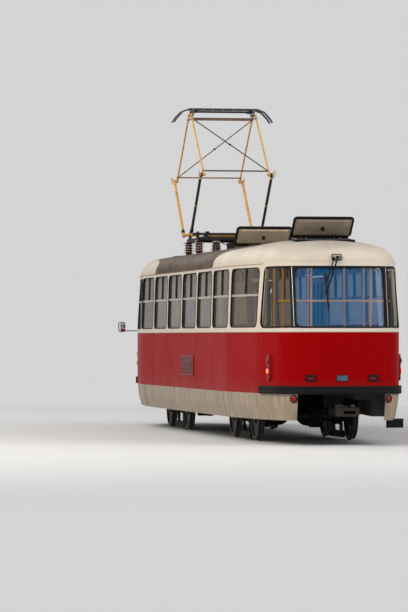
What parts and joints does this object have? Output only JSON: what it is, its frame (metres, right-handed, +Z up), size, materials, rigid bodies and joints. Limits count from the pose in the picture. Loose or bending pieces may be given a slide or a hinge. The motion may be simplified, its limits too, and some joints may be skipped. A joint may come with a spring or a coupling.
{
  "type": "four-axle tram",
  "caption": "Single four-axle city tram with two bogies, folding doors on the right side and a raised diamond pantograph, standing on its wheels",
  "frame": {"origin": "middle of the car at the level of the lowest points of the wheel flanges", "axes": "+X forward, +Y left, +Z up"},
  "size_m": [15.04, 2.8, 5.5804],
  "materials": {
    "red_paint": "satin",
    "cream_paint": "satin",
    "roof_paint": "matt",
    "frame_black": "matt",
    "window_glass": "clear",
    "window_frame": "satin",
    "bumper_rubber": "matt",
    "seat_shell": "satin",
    "desk_grey": "matt",
    "rail_yellow": "gloss",
    "lamp_glass": "clear",
    "tail_lamp": "gloss",
    "mirror_black": "matt",
    "blank_panel": "matt",
    "bogie_steel": "matt",
    "wheel_steel": "worn",
    "arm_yellow": "satin",
    "collector_black": "satin",
    "step_grey": "matt"
  },
  "bodies": {
    "car_body": {"underframe": "frame_black", "side_wall_left": "red_paint", "side_wall_right": "red_paint", "end_wall_front": "red_paint", "end_wall_rear": "red_paint", "roof_shell": "roof_paint", "skirts": "red_paint", "step_wells": "step_grey", "side_glazing": "window_glass", "windscreen": "window_glass", "rear_window": "window_glass", "window_bars": "window_frame", "bumpers": "bumper_rubber", "seats": "seat_shell", "driver_seat": "seat_shell", "driver_desk": "desk_grey", "cab_partition": "desk_grey", "handrails": "rail_yellow", "headlamps": "lamp_glass", "corner_lamps": "tail_lamp", "reflectors": "tail_lamp", "mirrors": "mirror_black", "wipers": "mirror_black", "destination_box": "blank_panel", "side_vent": "frame_black", "pantograph_base": "arm_yellow", "roof_equipment": "frame_black", "underfloor_boxes": "frame_black"},
    "bogie_front": {"bogie_frame_front": "bogie_steel", "traction_motors_front": "bogie_steel", "track_brakes_front": "bogie_steel"},
    "wheelset_front_leading": {"wheelset_front_leading": "wheel_steel"},
    "wheelset_front_trailing": {"wheelset_front_trailing": "wheel_steel"},
    "coupler_front": {"coupler_front": "bogie_steel"},
    "bogie_rear": {"bogie_frame_rear": "bogie_steel", "traction_motors_rear": "bogie_steel", "track_brakes_rear": "bogie_steel"},
    "wheelset_rear_leading": {"wheelset_rear_leading": "wheel_steel"},
    "wheelset_rear_trailing": {"wheelset_rear_trailing": "wheel_steel"},
    "coupler_rear": {"coupler_rear": "bogie_steel"},
    "lower_arm_front": {"lower_arm_front": "arm_yellow"},
    "upper_arm_front": {"upper_arm_front": "arm_yellow"},
    "lower_arm_rear": {"lower_arm_rear": "arm_yellow"},
    "upper_arm_rear": {"upper_arm_rear": "arm_yellow"},
    "collector_head": {"collector_head": "collector_black"},
    "hatch_lid_rear": {"hatch_lid_rear": "cream_paint"},
    "hatch_lid_middle": {"hatch_lid_middle": "cream_paint"},
    "door_1a_outer": {"door_1a_outer": "red_paint"},
    "door_1a_inner": {"door_1a_inner": "red_paint"},
    "door_1b_outer": {"door_1b_outer": "red_paint"},
    "door_1b_inner": {"door_1b_inner": "red_paint"},
    "door_2a_outer": {"door_2a_outer": "red_paint"},
    "door_2a_inner": {"door_2a_inner": "red_paint"},
    "door_2b_outer": {"door_2b_outer": "red_paint"},
    "door_2b_inner": {"door_2b_inner": "red_paint"},
    "door_3a_outer": {"door_3a_outer": "red_paint"},
    "door_3a_inner": {"door_3a_inner": "red_paint"},
    "door_3b_outer": {"door_3b_outer": "red_paint"},
    "door_3b_inner": {"door_3b_inner": "red_paint"}
  },
  "joints": [
    {"name": "bogie_swivel_front", "type": "hinge", "parent": "car_body", "child": "bogie_front", "pos_m": [3.2, 0, 0.72], "axis": [0, 0, 1], "range_deg": [-10, 10]},
    {"name": "wheelset_front_leading_spin", "type": "hinge", "parent": "bogie_front", "child": "wheelset_front_leading", "pos_m": [4.15, 0, 0.372], "axis": [0, 1, 0], "continuous": true},
    {"name": "wheelset_front_trailing_spin", "type": "hinge", "parent": "bogie_front", "child": "wheelset_front_trailing", "pos_m": [2.25, 0, 0.372], "axis": [0, 1, 0], "continuous": true},
    {"name": "coupler_front_swing", "type": "hinge", "parent": "car_body", "child": "coupler_front", "pos_m": [6.29, 0, 0.502], "axis": [0, 0, 1], "range_deg": [-20, 20]},
    {"name": "bogie_swivel_rear", "type": "hinge", "parent": "car_body", "child": "bogie_rear", "pos_m": [-3.2, 0, 0.72], "axis": [0, 0, 1], "range_deg": [-10, 10]},
    {"name": "wheelset_rear_leading_spin", "type": "hinge", "parent": "bogie_rear", "child": "wheelset_rear_leading", "pos_m": [-2.25, 0, 0.372], "axis": [0, 1, 0], "continuous": true},
    {"name": "wheelset_rear_trailing_spin", "type": "hinge", "parent": "bogie_rear", "child": "wheelset_rear_trailing", "pos_m": [-4.15, 0, 0.372], "axis": [0, 1, 0], "continuous": true},
    {"name": "coupler_rear_swing", "type": "hinge", "parent": "car_body", "child": "coupler_rear", "pos_m": [-6.29, 0, 0.502], "axis": [0, 0, 1], "range_deg": [-20, 20]},
    {"name": "lower_arm_front_raise", "type": "hinge", "parent": "car_body", "child": "lower_arm_front", "pos_m": [3.6, 0, 3.382], "axis": [0, -1, 0], "range_deg": [-39.6, 8]},
    {"name": "upper_arm_front_fold", "type": "hinge", "parent": "lower_arm_front", "child": "upper_arm_front", "pos_m": [4.62, 0, 4.36993], "axis": [0, 1, 0], "range_deg": [-75.84, 15.48]},
    {"name": "lower_arm_rear_raise", "type": "hinge", "parent": "car_body", "child": "lower_arm_rear", "pos_m": [2.8, 0, 3.382], "axis": [0, 1, 0], "range_deg": [-39.6, 8]},
    {"name": "upper_arm_rear_fold", "type": "hinge", "parent": "lower_arm_rear", "child": "upper_arm_rear", "pos_m": [1.78, 0, 4.36993], "axis": [0, -1, 0], "range_deg": [-75.84, 15.48]},
    {"name": "collector_head_level", "type": "hinge", "parent": "upper_arm_front", "child": "collector_head", "pos_m": [3.32, 0, 5.46537], "axis": [0, -1, 0], "range_deg": [-36.24, 7.48]},
    {"name": "hatch_rear_close", "type": "hinge", "parent": "car_body", "child": "hatch_lid_rear", "pos_m": [-5.366, 0, 3.12], "axis": [0, 1, 0], "range_deg": [-46.2, 0]},
    {"name": "hatch_middle_close", "type": "hinge", "parent": "car_body", "child": "hatch_lid_middle", "pos_m": [-0.541, 0, 3.12], "axis": [0, 1, 0], "range_deg": [-41.8, 0]},
    {"name": "door_1a_open", "type": "hinge", "parent": "car_body", "child": "door_1a_outer", "pos_m": [4.56381, -1.1779, 0.45], "axis": [0, 0, 1], "range_deg": [0, 84]},
    {"name": "door_1a_fold", "type": "hinge", "parent": "door_1a_outer", "child": "door_1a_inner", "pos_m": [4.88036, -1.16033, 0.45], "axis": [0, 0, -1], "range_deg": [0, 168.2]},
    {"name": "door_1b_open", "type": "hinge", "parent": "car_body", "child": "door_1b_outer", "pos_m": [5.88619, -1.03728, 0.45], "axis": [0, 0, -1], "range_deg": [0, 84]},
    {"name": "door_1b_fold", "type": "hinge", "parent": "door_1b_outer", "child": "door_1b_inner", "pos_m": [5.57302, -1.08667, 0.45], "axis": [0, 0, 1], "range_deg": [0, 168.2]},
    {"name": "door_2a_open", "type": "hinge", "parent": "car_body", "child": "door_2a_outer", "pos_m": [0.114, -1.199, 0.45], "axis": [0, 0, 1], "range_deg": [0, 84]},
    {"name": "door_2a_fold", "type": "hinge", "parent": "door_2a_outer", "child": "door_2a_inner", "pos_m": [0.412, -1.215, 0.45], "axis": [0, 0, -1], "range_deg": [0, 168.2]},
    {"name": "door_2b_open", "type": "hinge", "parent": "car_body", "child": "door_2b_outer", "pos_m": [1.3693, -1.199, 0.45], "axis": [0, 0, -1], "range_deg": [0, 84]},
    {"name": "door_2b_fold", "type": "hinge", "parent": "door_2b_outer", "child": "door_2b_inner", "pos_m": [1.0713, -1.215, 0.45], "axis": [0, 0, 1], "range_deg": [0, 168.2]},
    {"name": "door_3a_open", "type": "hinge", "parent": "car_body", "child": "door_3a_outer", "pos_m": [-5.88619, -1.03728, 0.45], "axis": [0, 0, 1], "range_deg": [0, 84]},
    {"name": "door_3a_fold", "type": "hinge", "parent": "door_3a_outer", "child": "door_3a_inner", "pos_m": [-5.57302, -1.08667, 0.45], "axis": [0, 0, -1], "range_deg": [0, 168.2]},
    {"name": "door_3b_open", "type": "hinge", "parent": "car_body", "child": "door_3b_outer", "pos_m": [-4.56381, -1.1779, 0.45], "axis": [0, 0, -1], "range_deg": [0, 84]},
    {"name": "door_3b_fold", "type": "hinge", "parent": "door_3b_outer", "child": "door_3b_inner", "pos_m": [-4.88036, -1.16033, 0.45], "axis": [0, 0, 1], "range_deg": [0, 168.2]}
  ],
  "couplings": [
    {"joint": "upper_arm_front_fold", "follows": "lower_arm_front_raise", "ratio": 1.91},
    {"joint": "collector_head_level", "follows": "lower_arm_front_raise", "ratio": 0.91004},
    {"joint": "lower_arm_rear_raise", "follows": "lower_arm_front_raise", "ratio": 1},
    {"joint": "upper_arm_rear_fold", "follows": "lower_arm_front_raise", "ratio": 1.91},
    {"joint": "door_1a_fold", "follows": "door_1a_open", "ratio": 2},
    {"joint": "door_1b_fold", "follows": "door_1b_open", "ratio": 2},
    {"joint": "door_2a_fold", "follows": "door_2a_open", "ratio": 2},
    {"joint": "door_2b_fold", "follows": "door_2b_open", "ratio": 2},
    {"joint": "door_3a_fold", "follows": "door_3a_open", "ratio": 2},
    {"joint": "door_3b_fold", "follows": "door_3b_open", "ratio": 2}
  ]
}
